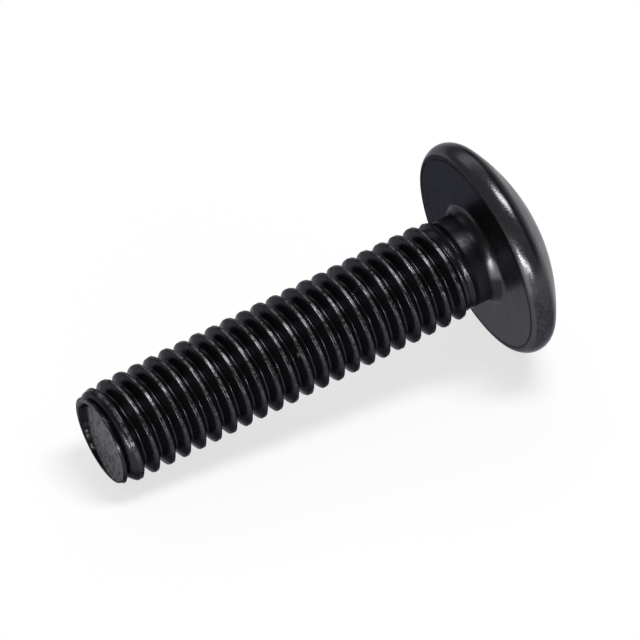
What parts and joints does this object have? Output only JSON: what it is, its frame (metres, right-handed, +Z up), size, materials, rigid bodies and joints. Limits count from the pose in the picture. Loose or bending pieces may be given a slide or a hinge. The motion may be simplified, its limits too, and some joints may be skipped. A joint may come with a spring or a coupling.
{
  "type": "machine screw",
  "caption": "Black fully threaded machine screw with a low domed truss head, a cross recess and a cupped flat point, lying on its side.",
  "frame": {"origin": "centre of the bounding box's bottom face, on the floor under the lying screw", "axes": "+X from the point towards the head, +Z up; the screw's own axis lies in the XZ plane and rises 8.3 degrees towards the head"},
  "size_m": [0.0282, 0.013, 0.0128],
  "materials": {
    "black_oxide": "black oxide on rolled steel, satin with a light oil film, worn to grey along the crests"
  },
  "bodies": {
    "root": {"machine_screw": "black_oxide"}
  },
  "joints": []
}
